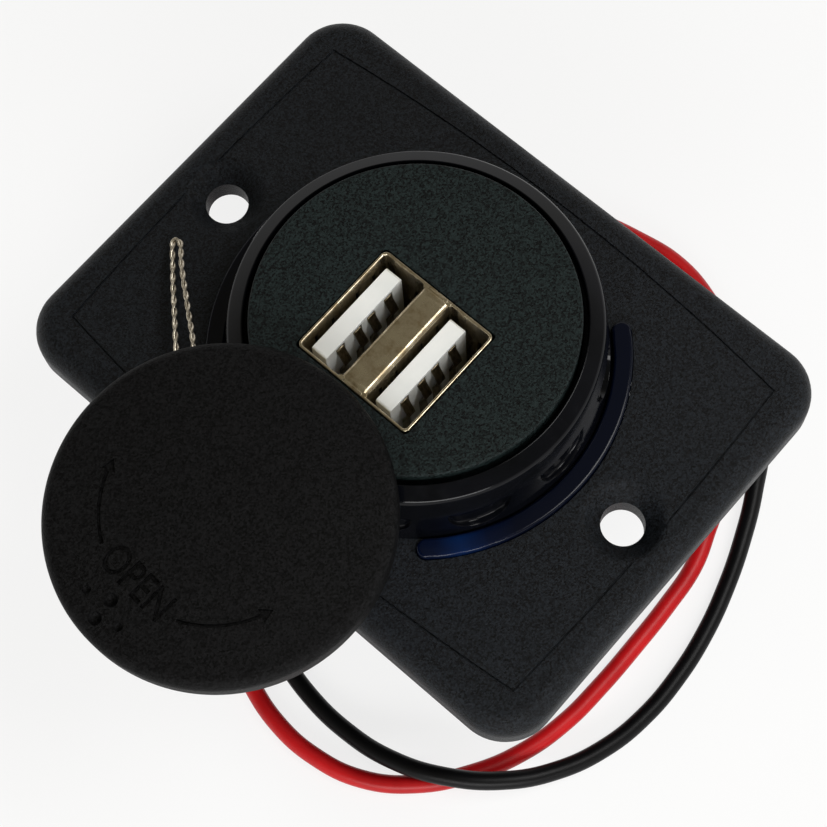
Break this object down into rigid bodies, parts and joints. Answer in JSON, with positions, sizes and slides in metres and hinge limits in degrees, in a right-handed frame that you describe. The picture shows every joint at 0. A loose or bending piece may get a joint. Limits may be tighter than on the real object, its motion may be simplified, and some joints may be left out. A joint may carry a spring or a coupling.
{
  "type": "dual usb power socket",
  "caption": "Round panel socket with two stacked USB ports on a countersunk mounting plate, with a tethered dust cap, a light ring and two supply leads.",
  "frame": {"origin": "centre of the mounting plate's back plane, which seats on the panel", "axes": "+X along the plate from screw hole to screw hole, +Z out of the socket's face"},
  "size_m": [0.0736, 0.0798, 0.042],
  "materials": {
    "plate_plastic": "satin",
    "smoked_gloss": "gloss",
    "face_plastic": "fine texture",
    "cap_plastic": "fine texture",
    "housing_plastic": "satin",
    "blue_light_guide": "clear gloss",
    "nickel": "satin",
    "white_insulator": "satin",
    "contact_metal": "satin",
    "board_green": "gloss",
    "component_black": "matte",
    "capacitor_sleeve": "gloss",
    "lamp_white": "gloss",
    "wire_steel": "twisted strands",
    "lead_red": "gloss",
    "lead_black": "gloss",
    "tinned_copper": "satin"
  },
  "bodies": {
    "root": {"mounting_plate": "plate_plastic", "barrel": "housing_plastic", "retaining_nut": "housing_plastic", "rear_cover": "housing_plastic", "lead_grommet": "component_black", "bezel": "smoked_gloss", "face_disc": "face_plastic", "light_ring": "blue_light_guide", "usb_shell": "nickel", "usb_insulator": "white_insulator", "upper_contacts": "contact_metal", "lower_contacts": "contact_metal", "circuit_board": "board_green", "controller_chip": "component_black", "storage_coil": "component_black", "input_capacitor": "capacitor_sleeve", "output_capacitor": "capacitor_sleeve", "diode": "component_black", "ring_leds": "lamp_white", "cap": "cap_plastic", "tether_wire": "wire_steel", "tether_crimp": "tinned_copper", "lead_red": "lead_red", "lead_black": "lead_black", "tinned_end_red": "tinned_copper", "tinned_end_black": "tinned_copper"}
  },
  "joints": []
}
